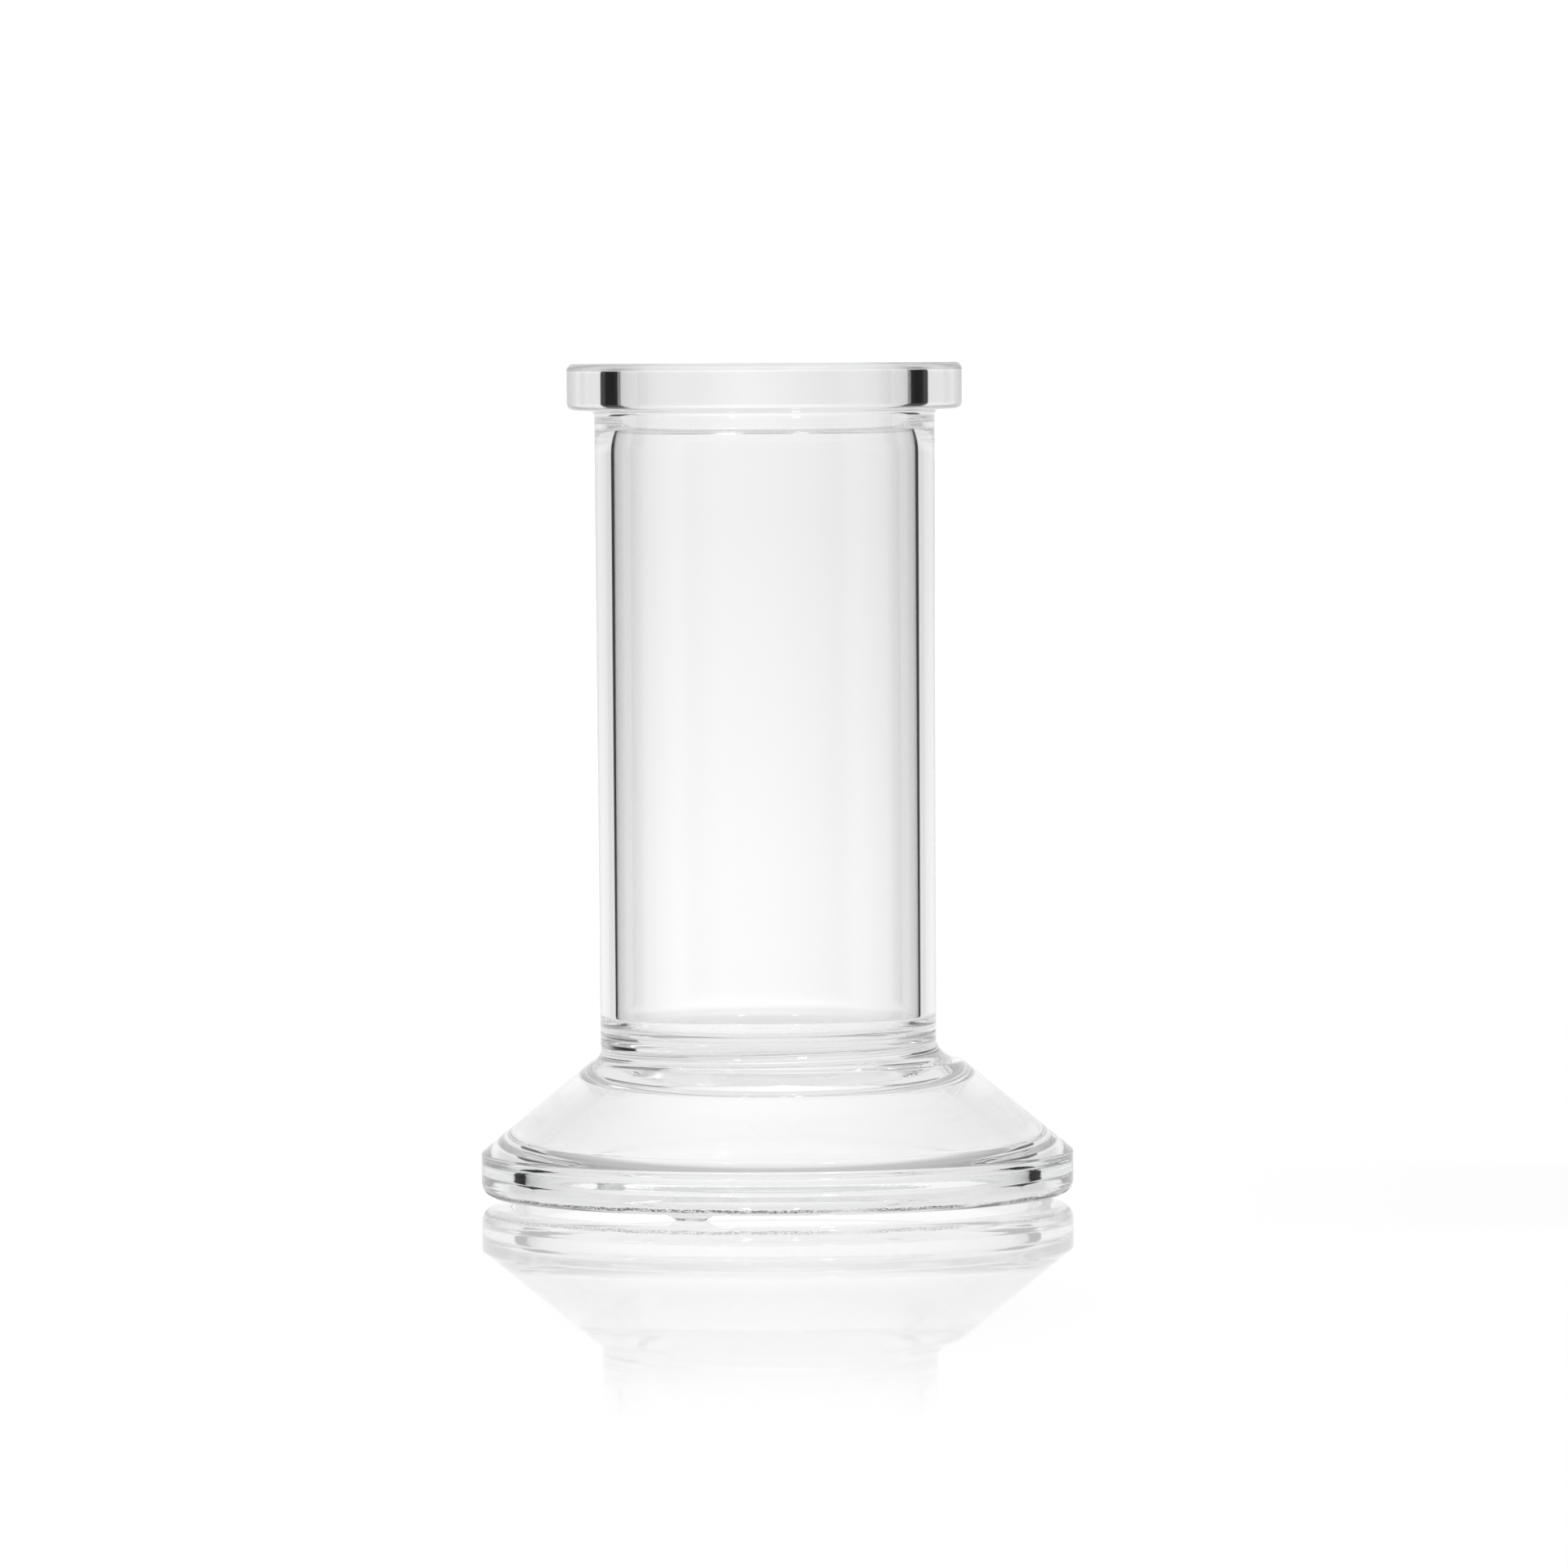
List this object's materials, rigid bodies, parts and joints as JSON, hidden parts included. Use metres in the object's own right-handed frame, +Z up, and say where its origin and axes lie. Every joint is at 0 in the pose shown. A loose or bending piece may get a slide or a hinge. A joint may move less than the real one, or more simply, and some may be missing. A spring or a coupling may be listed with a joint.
{
  "type": "gas jar",
  "caption": "Clear glass gas jar: a straight round tube with a ground flange at its mouth and a hollow spreading foot.",
  "frame": {"origin": "where the foot's axis meets the surface that the jar stands on", "axes": "+Z up along the jar, -Y towards the front, +X to the right; the tube's axis is parallel to Z at X = -1.5 mm"},
  "size_m": [0.1062, 0.1062, 0.15],
  "materials": {
    "glass": "clear fire-polished glass, with a finely ground rim and base ring"
  },
  "bodies": {
    "root": {"jar": "glass"}
  },
  "joints": []
}
